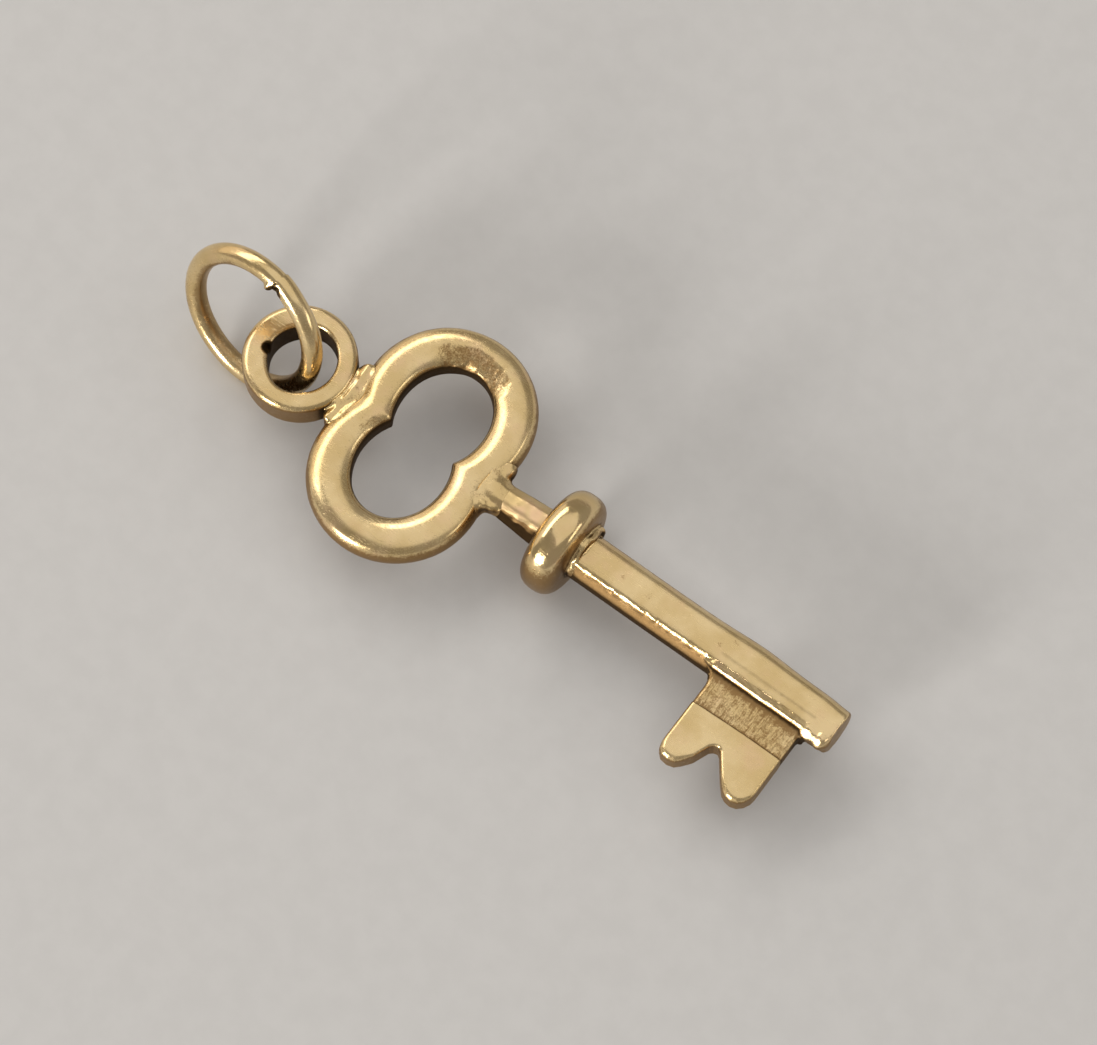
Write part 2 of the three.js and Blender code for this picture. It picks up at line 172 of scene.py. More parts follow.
def polygon(x, y, points):
    """Signed distance in the plane to a closed outline."""
    best = np.full(x.shape, 1e9)
    inside = np.zeros(x.shape, bool)
    for (ax, ay), (bx, by) in zip(points, points[1:] + points[:1]):
        ex, ey = bx - ax, by - ay
        wx, wy = x - ax, y - ay
        t = np.clip((wx * ex + wy * ey) / (ex * ex + ey * ey), 0, 1)
        best = np.minimum(best, (wx - ex * t) ** 2 + (wy - ey * t) ** 2)
        crosses = (ay > y) != (by > y)
        slope = ex * (y - ay) / (ey if ey else 1e-9) + ax
        inside ^= crosses & (x < slope)
    return np.where(inside, -1, 1) * np.sqrt(best)


# ------------------------------------------------------------------ jump ring
# Every piece is a field: negative inside, close to millimetres near its surface.
RING_RADIUS = 2.912  # to the middle of the wire
RING_WIRE = 0.41
RING_WAVE = (0.008, 1.6, 3)
RING_LEAN = math.radians(21.5)
RING_TURN = math.radians(-5)
RING_SEAM = math.radians(79)
# Places at the seam are along the wire, inward from its middle, and across.
SEAM_GAP = 0.015
SEAM_GAP_START = 0.25
SEAM_GAP_EDGE = 0.02
SEAM_STEP = (0.025, 0.04)  # how far one wire end sits inward and across
SEAM_STEP_FADE = (-1.1, -0.1)
SEAM_WEAR = 0.05
SEAM_WEAR_AT = -0.35
SEAM_WEAR_LENGTH = 0.4
SEAM_KNOB = (0.18, 0.17, 0.31)
SEAM_KNOB_SIZE = (0.17, 0.2, 0.2)
SEAM_KNOB_BLEND = 0.12
SEAM_NOTCH = (-0.17, 0.16, 0.44)
SEAM_NOTCH_SIZE = (0.14, 0.34, 0.3)
SEAM_NOTCH_EDGE = 0.03


def ring_place(p):
    """Place on the ring: along the wire from its seam, inward from its middle, and across."""
    level = np.array([math.cos(RING_TURN), math.sin(RING_TURN), 0])
    across = np.array([-math.sin(RING_TURN), math.cos(RING_TURN), 0])
    up = across * math.sin(RING_LEAN) + np.array([0, 0, math.cos(RING_LEAN)])
    q = p - RING
    a, b, n = q @ level, q @ up, q @ np.cross(level, up)
    turn = np.arctan2(b, a) - RING_SEAM
    turn = (turn + math.pi) % (2 * math.pi) - math.pi
    return np.stack([turn * RING_RADIUS, RING_RADIUS - np.hypot(a, b), n], -1)


def jump_ring(p):
    place = ring_place(p)
    along, inward, across = place[..., 0], place[..., 1], place[..., 2]
    aside = smooth(*SEAM_STEP_FADE, along) * (along < 0)
    tube = np.hypot(inward + SEAM_STEP[0] * aside, across + SEAM_STEP[1] * aside)
    tube = tube - RING_WIRE * (1 + relief(p, RING_WAVE))
    worn = SEAM_WEAR * hump(along, SEAM_WEAR_AT, SEAM_WEAR_LENGTH)
    tube = smax(tube, inward - RING_WIRE + worn, SEAM_WEAR)
    tube = smin(tube, ellipsoid(place, SEAM_KNOB, SEAM_KNOB_SIZE), SEAM_KNOB_BLEND)
    tube = smax(tube, -ellipsoid(place, SEAM_NOTCH, SEAM_NOTCH_SIZE), SEAM_NOTCH_EDGE)
    slit = np.maximum(np.abs(along) - SEAM_GAP, -SEAM_GAP_START - inward)
    return smax(tube, -slit, SEAM_GAP_EDGE)


# ------------------------------------------------------------------ hanging loop
LOOP_HOLE = 1.43
LOOP_FILLING = 0.2
LOOP_FILLING_FADE = (-0.2, 0.9)
LOOP_OUTER_ROUNDING = 0.3
LOOP_INNER_ROUNDING = 0.17
LOOP_WAVE = (0.012, 1.6, 5)
LOOP_FACE_WAVE = (0.01, 1.1, 6)
LOOP_PIT = np.array([-1.2, -0.4, 0.72])
LOOP_PIT_SIZE = (0.21, 0.18, 0.5)
LOOP_PIT_WAVE = (0.03, 0.25, 33)
LOOP_PIT_EDGE = 0.06


def loop_hole(q):
    """Radius of the loop's hole, which is smaller on the side away from the bow."""
    away = -q[..., 0] / np.maximum(np.hypot(q[..., 0], q[..., 1]), TINY)
    return LOOP_HOLE - LOOP_FILLING * smooth(*LOOP_FILLING_FADE, away)


def hanging_loop(p):
    q = p - LOOP
    r = np.hypot(q[..., 0], q[..., 1]) + relief(p, LOOP_WAVE)
    z = np.abs(q[..., 2]) - LOOP_HALF + relief(p, LOOP_FACE_WAVE)
    outer = rounded(r - LOOP_OUTER, z, LOOP_OUTER_ROUNDING)
    inner = rounded(loop_hole(q) - r, z, LOOP_INNER_ROUNDING)
    pit = ellipsoid(p, LOOP + LOOP_PIT, LOOP_PIT_SIZE) + relief(p, LOOP_PIT_WAVE)
    return smax(np.maximum(outer, inner), -pit, LOOP_PIT_EDGE)


# ------------------------------------------------------------------ bow
BOW_WAIST_BLEND = 0.35
BOW_WAVE = (0.015, 2.2, 7)
BOW_FACE_WAVE = (0.008, 1.5, 9)
BOW_EDGE = 0.1
HOLE_HALF_WIDTH = 1.78
HOLE_HALF_LENGTH = 2.1
HOLE_OFFSET = 1.28
HOLE_LEAST_SLOPE = 0.3
HOLE_POINT_BLEND = 0.07
HOLE_WAVE = (0.012, 1.1, 8)
HOLE_EDGE = 0.05
# Bevels: how much they take off the face and off the side.
OUTER_BEVEL = (0.44, 0.4)
OUTER_BEVEL_BLEND = 0.3
INNER_BEVEL = (0.46, 0.33)
INNER_BEVEL_ROUGH = (0.26, 0.05)  # more than that at the rough patch
INNER_BEVEL_BLEND = 0.22
LIT_BEVEL = (0.52, 0.47)
LIT_BEVEL_AT = -0.35
LIT_BEVEL_LENGTH = 0.5
LIT_BEVEL_BLEND = 0.05
LEAF_BEVEL = (0.72, 0.3)
LEAF_AT = (-1.7, -0.62)
LEAF_SIZE = (0.6, 0.56)
LEAF_BLEND = 0.04
BEVEL_LIFT = 0.5  # how far a local bevel is taken off the bow where it ends
FILED_DEPTH = (-0.3, -0.18)
FILED_SIDE = (-1.4, -2.4)
FILED_MARKS = (0.007, (0.4, 0.4, 0.12), 10)
ROUGH_START = (52, 66)
ROUGH_END = (122, 140)
ROUGH_INNER = (-0.05, 0.1)
ROUGH_OUTER = (0.7, 1.0)
ROUGH_BORDER = (0.1, (0.2, 0.6, 0.6), 10)
ROUGH_HAMMERED = (0.009, (0.09, 0.6, 0.6), 11)
ROUGH_GRAIN = (0.007, 0.16, 12)


def bow_outline(p):
    x = p[..., 0] - BOW[0]
    y = p[..., 1] - BOW[1]
    lobes = [np.hypot(x, y - s * BOW_OFFSET) - BOW_LOBE for s in (-1, 1)]
    return smin(lobes[0], lobes[1], BOW_WAIST_BLEND) + relief(p, BOW_WAVE)


def bow_hole(p):
    """Distance outside the hole: two ovals that meet in a point on either side."""
    x = p[..., 0] - BOW[0]
    y = p[..., 1] - BOW[1]
    ovals = []
    for s in (-1, 1):
        qx, qy = x / HOLE_HALF_WIDTH, (y - s * HOLE_OFFSET) / HOLE_HALF_LENGTH
        r = np.hypot(qx, qy)
        slope = np.hypot(qx / HOLE_HALF_WIDTH, qy / HOLE_HALF_LENGTH) / np.maximum(r, TINY)
        ovals.append((r - 1) / np.maximum(slope, HOLE_LEAST_SLOPE))
    return smin(ovals[0], ovals[1], HOLE_POINT_BLEND) + relief(p, HOLE_WAVE)


def leaf_share(p):
    """Share of the wider, duller bevel next to the hole's point on the loop's side."""
    x = p[..., 0] - BOW[0]
    y = p[..., 1] - BOW[1]
    leaf = hump(x, LEAF_AT[0], LEAF_SIZE[0], 4) * hump(y, LEAF_AT[1], LEAF_SIZE[1], 4)
    return leaf * (p[..., 2] > 0)


def filed_share(p, edge):
    """Share of filed, less polished flank near the loop's side of the bow."""
    return smooth(*FILED_DEPTH, edge) * smooth(*FILED_SIDE, p[..., 0] - BOW[0])


def rough_patch(p):
    """Share of coarse, unpolished surface on the bow: the far end of the hole's bevel."""
    x = p[..., 0] - BOW[0]
    y = p[..., 1] - BOW[1] - HOLE_OFFSET
    turn = np.degrees(np.arctan2(y, x))
    arc = smooth(*ROUGH_START, turn) * (1 - smooth(*ROUGH_END, turn))
    away = bow_hole(p) + relief(p, ROUGH_BORDER)
    band = smooth(*ROUGH_INNER, away) * (1 - smooth(*ROUGH_OUTER, away))
    return arc * band * (p[..., 2] > 0)


def bow(p):
    edge = bow_outline(p)
    inside = -bow_hole(p)
    rough = rough_patch(p)
    face = np.abs(p[..., 2] - BOW[2]) - BOW_HALF + relief(p, BOW_FACE_WAVE)
    body = smax(edge, face, BOW_EDGE)
    body = smax(body, chamfer(edge, face, *OUTER_BEVEL), OUTER_BEVEL_BLEND)
    body = smax(body, inside, HOLE_EDGE)
    wide = INNER_BEVEL[0] + INNER_BEVEL_ROUGH[0] * rough
    deep = INNER_BEVEL[1] + INNER_BEVEL_ROUGH[1] * rough
    body = smax(body, chamfer(inside, face, wide, deep), INNER_BEVEL_BLEND)
    lit = hump(p[..., 0] - BOW[0], LIT_BEVEL_AT, LIT_BEVEL_LENGTH, 4) * (p[..., 1] > BOW[1])
    lit_bevel = chamfer(inside, face, *LIT_BEVEL) - BEVEL_LIFT * (1 - lit)
    body = smax(body, lit_bevel, LIT_BEVEL_BLEND)
    leaf_bevel = chamfer(inside, face, *LEAF_BEVEL) - BEVEL_LIFT * (1 - leaf_share(p))
    body = smax(body, leaf_bevel, LEAF_BLEND)
    marks = relief(p, ROUGH_HAMMERED) + relief(p, ROUGH_GRAIN)
    return body + rough * marks + filed_share(p, edge) * relief(p, FILED_MARKS)


# ------------------------------------------------------------------ neck and collar
NECK_FROM_BOW = 2.9
NECK_RADIUS = 0.54
NECK_SPREAD = 0.27
NECK_TAPER = 0.7
NECK_FACETS = [  # direction across and up, distance as a share of the radius, blend
    (0, 1, 0.92, 0.1),
    (-0.54, 0.84, 0.9, 0.05),
    (0.75, 0.66, 0.93, 0.07),
    (-0.91, 0.42, 0.94, 0.04),
]
NECK_WAVE = (0.016, (0.4, 0.3, 0.3), 13)
NECK_GRAIN = (0.004, 0.18, 14)
COLLAR_FACE = 1.3
COLLAR_POWERS = (2.6, 2.3)
COLLAR_CORE = 1e-9
COLLAR_THICKNESS = 0.55
COLLAR_WAVE = (0.01, 1.3, 15)


def neck(p):
    start = BOW[0] + NECK_FROM_BOW
    share = np.clip((p[..., 0] - start) / (NECK_END - start), 0, 1)
    radius = NECK_RADIUS + NECK_SPREAD * share ** NECK_TAPER
    y, z = p[..., 1], p[..., 2]
    body = np.hypot(y, z) - radius
    for across, up, distance, blend in NECK_FACETS:
        body = smax(body, y * across + z * up - distance * radius, blend)
    body = body + relief(p, NECK_WAVE) + relief(p, NECK_GRAIN)
    return np.maximum(body, np.abs(p[..., 0] - (start + NECK_END) / 2) - (NECK_END - start) / 2)


def collar(p):
    r = np.hypot(p[..., 1], p[..., 2])
    out = np.maximum(r - COLLAR_FACE, 0) / (COLLAR_RADIUS - COLLAR_FACE)
    f = np.abs(p[..., 0] / COLLAR_HALF) ** COLLAR_POWERS[0] + out ** COLLAR_POWERS[1]
    return (np.sqrt(f + COLLAR_CORE) - 1) * COLLAR_THICKNESS + relief(p, COLLAR_WAVE)


# ------------------------------------------------------------------ shank
SWELL = 0.09
SWELL_AT = 7.8
SWELL_REACH = 1.5
SWELL_LIMIT = 1.2
TIP_TAPER = 0.07
TIP_TAPER_LENGTH = 1.3
SHANK_WAVE = (0.008, (2.2, 0.9, 0.9), 17)
FLAT_WAVE = (0.004, (1.8, 0.6, 0.6), 18)
FLAT_BLEND = 0.15
FLANK_FACET = (-0.85, 0.53)
FLANK_DISTANCE = 0.925
FLANK_BLEND = 0.04
CREST_AT = -0.63
CREST_WIDTH = 0.09
CREST_WAVE = (0.03, (0.13, 0.4, 0.4), 20)
SIDE_TOP = (-0.4, -0.55)
SIDE_FOOT = (-0.8, -0.68)
SIDE_BUMPS = (0.006, (0.13, 0.1, 0.1), 19)
END_WAVE = (0.02, 0.5, 21)
END_INSET = 0.02
END_ROUNDING = 0.12
# The blob of solder at the tip: places from the bit's outer edge, and sizes.
BLOB = ((0.2, -0.66, 0.46), (0.44, 0.38, 0.36))
BLOB_END = ((0.72, -0.66, 0.4), (0.36, 0.41, 0.42))
BLOB_WAIST_BLEND = 0.12
BLOB_BLEND = 0.1
BLOB_FACET = (-0.06, -0.71, 0.7)
BLOB_FACET_FROM = 0.5
BLOB_FACET_DISTANCE = 1.11
BLOB_FACET_BLEND = 0.05


def tip_blob(p):
    edge = np.array([BIT_X + BIT_WIDTH, 0, 0])
    q = p - edge
    blob = smin(ellipsoid(q, *BLOB), ellipsoid(q, *BLOB_END), BLOB_WAIST_BLEND)
    facet = (q - np.array([BLOB_FACET_FROM, 0, 0])) @ np.array(BLOB_FACET)
    return smax(blob, facet - BLOB_FACET_DISTANCE, BLOB_FACET_BLEND)


def shank(p):
    x, y, z = p[..., 0], p[..., 1], p[..., 2]
    swell = SWELL * hump(x, SHANK_START + SWELL_AT, SWELL_REACH)
    y = y - swell * np.clip(y / SHANK_RADIUS, 0, SWELL_LIMIT)
    radius = SHANK_RADIUS - TIP_TAPER * smooth(SHANK_END - TIP_TAPER_LENGTH, SHANK_END, x)
    rod = np.hypot(y, z) - radius + relief(p, SHANK_WAVE)
    flat = z - SHANK_FLAT + relief(p, FLAT_WAVE)
    flank = FLANK_FACET[0] * y + FLANK_FACET[1] * np.abs(z)
    flank = flank - FLANK_DISTANCE * radius / SHANK_RADIUS
    flank = flank + hump(y, CREST_AT, CREST_WIDTH) * relief(p, CREST_WAVE)
    body = smax(smax(rod, flank, FLANK_BLEND), flat, FLAT_BLEND)
    side = smooth(*SIDE_TOP, y) * smooth(*SIDE_FOOT, y)
    body = body + side * relief(p, SIDE_BUMPS)
    ends = np.maximum(SHANK_START - x, x - SHANK_END + relief(p, END_WAVE) + END_INSET)
    return smin(rounded(body, ends, END_ROUNDING), tip_blob(p), BLOB_BLEND)


# ------------------------------------------------------------------ bit
# Round the bit from where it meets the shank: along the key from its edge, and across.
BIT_OUTLINE = [
    (-0.42, -0.85), (-0.2, -0.98), (-0.06, -1.18), (0.0, -1.46), (0.0, -4.18), (0.07, -4.45),
    (0.26, -4.62), (0.56, -4.66), (0.84, -4.58), (1.02, -4.4), (1.3, -4.0), (1.56, -3.36),
    (1.68, -3.24), (1.84, -3.2), (1.96, -3.27), (2.1, -3.46), (2.6, -4.1), (2.9, -4.43),
    (3.1, -4.54), (3.35, -4.58), (3.62, -4.5), (3.82, -4.3), (3.93, -4.04), (3.96, -3.8),
    (3.96, -1.2), (4.02, -1.04), (4.16, -0.9), (4.16, -0.3), (-0.42, -0.3),
]
BIT_OUTLINE_WAVE = (0.008, 0.9, 23)
BIT_ROOT_HALF = 0.44
BIT_STEP_HEIGHT = 0.12
BIT_STEP_REACH = 2.27
BIT_STEP_SLANT = 0.07
BIT_STEP_BOW = 0.03
BIT_STEP_WIDTH = 0.02
BIT_GROOVE = 0.014
BIT_GROOVE_WIDTH = 0.025
BIT_MARKS = (0.005, (0.07, 0.6, 0.6), 24)
BIT_MARKS_FADE = (0.0, 0.12)
BIT_FACE_WAVE = (0.006, 1.3, 25)
BIT_ROUNDING = 0.15
BIT_TOOTH_ROUNDING = 0.13
BIT_TOOTH_FADE = (-3.9, -4.5)


def bit_step(p):
    """Distance above the edge where the thin root band meets the thicker plate."""
    share = (p[..., 0] - BIT_X) / BIT_WIDTH
    bowed = BIT_STEP_BOW * (2 * share - 1) ** 2
    return p[..., 1] + BIT_STEP_REACH - BIT_STEP_SLANT * share + bowed


def bit(p):
    x, y, z = p[..., 0] - BIT_X, p[..., 1], p[..., 2]
    outline = polygon(x, y, BIT_OUTLINE) + relief(p, BIT_OUTLINE_WAVE)
    above = bit_step(p)
    thick = BIT_ROOT_HALF + BIT_STEP_HEIGHT * smooth(BIT_STEP_WIDTH, -BIT_STEP_WIDTH, above)
    groove = BIT_GROOVE * hump(above, BIT_STEP_WIDTH, BIT_GROOVE_WIDTH)
    marks = smooth(*BIT_MARKS_FADE, above) * relief(p, BIT_MARKS)
    face = np.abs(z) - thick + groove + marks + relief(p, BIT_FACE_WAVE)
    soft = BIT_ROUNDING + BIT_TOOTH_ROUNDING * smooth(*BIT_TOOTH_FADE, y)
    return rounded(outline, face, soft)


# ------------------------------------------------------------------ solder
FILLET_SINK = 0.006
# Flows: how far solder blends into its neighbours, and how far it reaches over them.
BEAD_GRAIN = (0.22, 0.11)
LOOP_SOLDER_REACH = 3.06  # from the bow's middle to its end on the bow
LOOP_SOLDER_SHIFT = (0.02, 0.02)
LOOP_SOLDER_BEND = 0.06
LOOP_SOLDER_HALF = (0.36, 1.42, 0.56)
LOOP_SOLDER_CORNER = 0.36
LOOP_SOLDER_ROUNDING = 0.16
LOOP_SOLDER_CREST = (0.07, -0.1, 0.14)  # height, place and width
LOOP_SOLDER_LUMPS = (0.05, (0.3, 0.36, 0.8), 31)
LOOP_SOLDER_GRAIN = (0.006, 0.17, 32)
LOOP_SOLDER_FLOW = (0.2, 0.08)
BOW_SOLDER_FROM_BOW = 3.06
BOW_SOLDER_BLEND = 0.16
BOW_SOLDER_GRAIN = (0.008, 41)  # height and seed
BOW_SOLDER_FLOW = (0.26, 0.16)
BOW_SOLDER_BEADS = [  # place from there, and size
    ((0.12, 0.05, 0.0), (0.55, 0.95, 0.66)),
    ((0.36, 0.98, 0.2), (0.2, 0.34, 0.34)),
    ((0.46, -0.02, 0.08), (0.5, 0.62, 0.52)),
    ((0.3, -0.66, 0.42), (0.2, 0.17, 0.18)),
    ((0.6, -0.56, 0.3), (0.17, 0.14, 0.16)),
]
COLLAR_SOLDER_RADIUS = 1.13
COLLAR_SOLDER_LEAN = (0.17, 0.15)  # how much wider it is on one side, and where
COLLAR_SOLDER_LOBES = (0.03, 5)
COLLAR_SOLDER_HALF = 0.27
COLLAR_SOLDER_UNEVEN = (0.08, 0.4, 51)
COLLAR_SOLDER_LUMPS = (0.045, 0.26, 52)
COLLAR_SOLDER_ROUNDING = 0.14
COLLAR_SOLDER_FLOW = (0.08, 0.06)
BIT_SOLDER_WAVE = (0.012, (0.4, 0.3, 0.3), 61)
BIT_SOLDER_GRAIN = (0.004, (0.2, 0.12, 0.12), 62)
BIT_SOLDER_ENDS = (-0.06, 1.05)  # shares of the bit's width
BIT_SOLDER_END_BLEND = 0.2
BIT_SOLDER_FACET = (-0.34, 0.94)
BIT_SOLDER_DISTANCE = 0.95
BIT_SOLDER_FOOT = 0.88
BIT_SOLDER_TOP = 0.2
BIT_SOLDER_ROUNDING = 0.17
BIT_WRAP_HALF = (2.22, 0.12, 0.43)
BIT_WRAP_AT = 0.98
BIT_WRAP_BLEND = 0.04
BIT_SOLDER_BEAD = ((-0.2, -0.66, 0.52), (0.4, 0.18, 0.19))
BIT_SOLDER_BEAD_BLEND = 0.1
BIT_SOLDER_FLOW = (0.06, 0.05)


def beads(p, origin, list_of_beads, k, height, seed):
    """Lumps of solder run together, with a grainy skin."""
    q = p - np.array(origin)
    whole = None
    for centre, size in list_of_beads:
        one = ellipsoid(q, centre, size)
        whole = one if whole is None else smin(whole, one, k)
    coarse, fine = BEAD_GRAIN
    return whole + height * (noise(p, coarse, seed) + 0.5 * noise(p, fine, seed + 1))


def fillet(p, body, neighbours, k, reach):
    """Solder that flows on to its neighbours, and lies just under their skin further off."""
    whole = body
    for other in neighbours:
        whole = smin(whole, other, k)
    return np.maximum(whole + FILLET_SINK, body - reach)


def loop_solder(p):
    x = (LOOP[0] + LOOP_OUTER + BOW[0] - LOOP_SOLDER_REACH) / 2
    y = p[..., 1] - LOOP[1] - LOOP_SOLDER_SHIFT[1]
    x = p[..., 0] - x + LOOP_SOLDER_BEND * y * y - LOOP_SOLDER_SHIFT[0]
    half_x, half_y, half_z = LOOP_SOLDER_HALF
    strip = rounded(np.abs(x) - half_x, np.abs(y) - half_y, LOOP_SOLDER_CORNER)
    height, crest_at, crest_width = LOOP_SOLDER_CREST
    crest = height * hump(x, crest_at, crest_width)
    level = half_z + crest + relief(p, LOOP_SOLDER_LUMPS)
    body = rounded(strip, np.abs(p[..., 2]) - level, LOOP_SOLDER_ROUNDING)
    body = body + relief(p, LOOP_SOLDER_GRAIN)
    return fillet(p, body, [hanging_loop(p), bow(p)], *LOOP_SOLDER_FLOW)


def bow_solder(p):
    origin = (BOW[0] + BOW_SOLDER_FROM_BOW, BOW[1], 0)
    body = beads(p, origin, BOW_SOLDER_BEADS, BOW_SOLDER_BLEND, *BOW_SOLDER_GRAIN)
    return fillet(p, body, [bow(p), neck(p)], *BOW_SOLDER_FLOW)


def collar_solder(p):
    r = np.hypot(p[..., 1], p[..., 2])
    turn = np.arctan2(p[..., 2], p[..., 1])
    lean, lean_turn = COLLAR_SOLDER_LEAN
    lobe, lobes = COLLAR_SOLDER_LOBES
    reach = COLLAR_SOLDER_RADIUS + lean * np.cos(turn + lean_turn) + lobe * np.sin(lobes * turn)
    x = p[..., 0] - COLLAR_HALF
    wide = COLLAR_SOLDER_HALF + relief(p, COLLAR_SOLDER_UNEVEN)
    body = rounded(r - reach, np.abs(x) - wide, COLLAR_SOLDER_ROUNDING)
    body = body + relief(p, COLLAR_SOLDER_LUMPS)
    return fillet(p, body, [collar(p), shank(p)], *COLLAR_SOLDER_FLOW)


def bit_solder(p):
    x = (p[..., 0] - BIT_X) / BIT_WIDTH
    y = p[..., 1] + relief(p, BIT_SOLDER_WAVE)
    z = np.abs(p[..., 2])
    ends = np.maximum(BIT_SOLDER_ENDS[0] - x, x - BIT_SOLDER_ENDS[1]) * BIT_WIDTH
    slope = BIT_SOLDER_FACET[0] * y + BIT_SOLDER_FACET[1] * z - BIT_SOLDER_DISTANCE
    wedge = rounded(slope, -y - BIT_SOLDER_FOOT, BIT_SOLDER_ROUNDING)
    wedge = np.maximum(wedge, y + BIT_SOLDER_TOP)
    half_x, half_y, half_z = BIT_WRAP_HALF
    wrap = np.maximum(z - half_z, np.abs(y + BIT_WRAP_AT) - half_y)
    wrap = np.maximum(wrap, np.abs(x - 0.5) * BIT_WIDTH - half_x)
    body = smax(smin(wedge, wrap, BIT_WRAP_BLEND), ends, BIT_SOLDER_END_BLEND)
    bead = ellipsoid(p - np.array([BIT_X, 0, 0]), *BIT_SOLDER_BEAD)
    body = smin(body, bead, BIT_SOLDER_BEAD_BLEND) + relief(p, BIT_SOLDER_GRAIN)
    return fillet(p, body, [shank(p)], *BIT_SOLDER_FLOW)


# ------------------------------------------------------------------ fields to meshes
def surface_net(values, low, step):
    """Vertices and quads of the zero surface of a grid of values."""
    inside = values < 0
    shape = tuple(n - 1 for n in values.shape)
    total = np.zeros(shape + (3,))
    count = np.zeros(shape)
    crossings = []
    for axis in range(3):
        a = [slice(None)] * 3
        b = [slice(None)] * 3
        a[axis], b[axis] = slice(None, -1), slice(1, None)
        va, vb = values[tuple(a)], values[tuple(b)]
        where = np.argwhere(inside[tuple(a)] != inside[tuple(b)])
        at = tuple(where.T)
        t = va[at] / (va[at] - vb[at])
        points = where.astype(float)
        points[:, axis] += t
        crossings.append((axis, where, inside[tuple(a)][at]))
        others = [o for o in range(3) if o != axis]
        for da in (0, 1):
            for db in (0, 1):
                cell = where.copy()
                cell[:, others[0]] -= da
                cell[:, others[1]] -= db
                fits = np.all((cell >= 0) & (cell < shape), axis=1)
                c = tuple(cell[fits].T)
                np.add.at(total, c, points[fits])
                np.add.at(count, c, 1)
    used = np.argwhere(count > 0)
    number = np.full(shape, -1)
    number[tuple(used.T)] = np.arange(len(used))
    vertices = total[tuple(used.T)] / count[tuple(used.T)][:, None]
    quads = []
    for axis, where, starts_inside in crossings:
        u, v = [(1, 2), (2, 0), (0, 1)][axis]
        fits = (where[:, u] > 0) & (where[:, v] > 0)
        fits &= (where[:, u] < shape[u]) & (where[:, v] < shape[v])
        where, starts_inside = where[fits], starts_inside[fits]
        corners = []
        for du, dv in ((1, 1), (0, 1), (0, 0), (1, 0)):
            cell = where.copy()
            cell[:, u] -= du
            cell[:, v] -= dv
            corners.append(number[tuple(cell.T)])
        quad = np.stack(corners, 1)
        quad[~starts_inside] = quad[~starts_inside][:, ::-1]
        quads.append(quad)
    return low + vertices * step, np.concatenate(quads)


GRADIENT_STEP = 0.01
SETTLE_SHARE = 0.6
SETTLE_LIMIT = 0.04
SETTLE_LEAST_SLOPE = 0.25
# Painted corner shade: how far from the surface the pieces near it are sought, and how much
# each distance counts.
NEARNESS = ((0.12, 0.35), (0.3, 0.35), (0.7, 0.3))  # distance and weight
# Painted shade on faces that tilt away from the top: where it begins and where it is whole, by
# the normal's height.
SIDE_SHADE_SLOPE = (0.72, 0.25)
EDGE_OF_GRID = 0.01


def gradient(field, p):
    parts = []
    for axis in range(3):
        d = np.zeros(3)
        d[axis] = GRADIENT_STEP
        parts.append((field(p + d) - field(p - d)) / (2 * GRADIENT_STEP))
    return np.stack(parts, -1)


def settle(field, vertices, quads, rounds=3):
    """Evens the vertices out along the surface and puts them on it."""
    edges = np.concatenate([quads[:, [a, (a + 1) % 4]] for a in range(4)])
    ends = np.concatenate([edges, edges[:, ::-1]])
    count = np.bincount(ends[:, 0], minlength=len(vertices))[:, None]
    for _ in range(rounds):
        mean = np.stack([
            np.bincount(ends[:, 0], weights=vertices[ends[:, 1], a], minlength=len(vertices))
            for a in range(3)
        ], 1) / count
        slope = gradient(field, vertices)
        size = np.linalg.norm(slope, axis=1, keepdims=True)
        normal = slope / np.maximum(size, TINY)
        shift = mean - vertices
        shift -= normal * np.sum(shift * normal, axis=1, keepdims=True)
        off = field(vertices)[:, None] / np.maximum(size, SETTLE_LEAST_SLOPE)
        step_back = normal * np.clip(off, -SETTLE_LIMIT, SETTLE_LIMIT)
        vertices = vertices + SETTLE_SHARE * shift - step_back
    return vertices, normal


def corner_shade_share(p, normal, fields):
    """How shut in each point is by the pieces near it, used as painted corner shade: 0 in the
    open, towards 1 in a corner.
    """
    shut = np.zeros(len(p))
    for reach, weight in NEARNESS:
        q = p + normal * reach
        clear = np.full(len(p), reach)
        for field in fields:
            clear = np.minimum(clear, field(q))
        shut += weight * np.clip(1 - clear / reach, 0, 1)
    return shut


def piece(name, node, field, step, body, neighbours, stain_and_shade_of, side_shade=1.1, pad=0.12):
    """Meshes a field inside its node's box, marks its painted corner shade, its stains and its
    painted side shade, and tags it.
    """
    low, high = box(node)
    low, high = low - pad, high + pad
    counts = np.ceil((high - low) / step).astype(int) + 1
    axes = [low[a] + step * np.arange(counts[a]) for a in range(3)]
    values = np.empty(tuple(counts))
    for i, x in enumerate(axes[0]):
        grid = np.stack(np.meshgrid([x], axes[1], axes[2], indexing="ij"), -1)
        values[i] = field(grid)[0]
    for axis in range(3):
        for end in (0, -1):
            face = [slice(None)] * 3
            face[axis] = end
            values[tuple(face)] = np.maximum(values[tuple(face)], EDGE_OF_GRID)
    vertices, quads = surface_net(values, low, step)
    vertices, normal = settle(field, vertices, quads)
    mesh = bpy.data.meshes.new(name)
    mesh.from_pydata((vertices * MM + AXIS).tolist(), [], quads.tolist())
    mesh.polygons.foreach_set("use_smooth", np.ones(len(quads), bool))
    shut = corner_shade_share(vertices, normal, neighbours)
    mesh.attributes.new("corner_shade", "FLOAT", "POINT").data.foreach_set("value", shut)
    # Painted shade: faces that tilt away from the top turn brown, added to the stains.
    stain_and_shade = stain_and_shade_of(vertices) + side_shade * smooth(*SIDE_SHADE_SLOPE, normal[:, 2])
    mesh.attributes.new("stain_and_shade", "FLOAT", "POINT").data.foreach_set("value", stain_and_shade)
    mesh.update()
    thing = bpy.data.objects.new(name, mesh)
    bpy.context.scene.collection.objects.link(thing)
    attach(thing, body)
    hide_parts(node)
    return thing
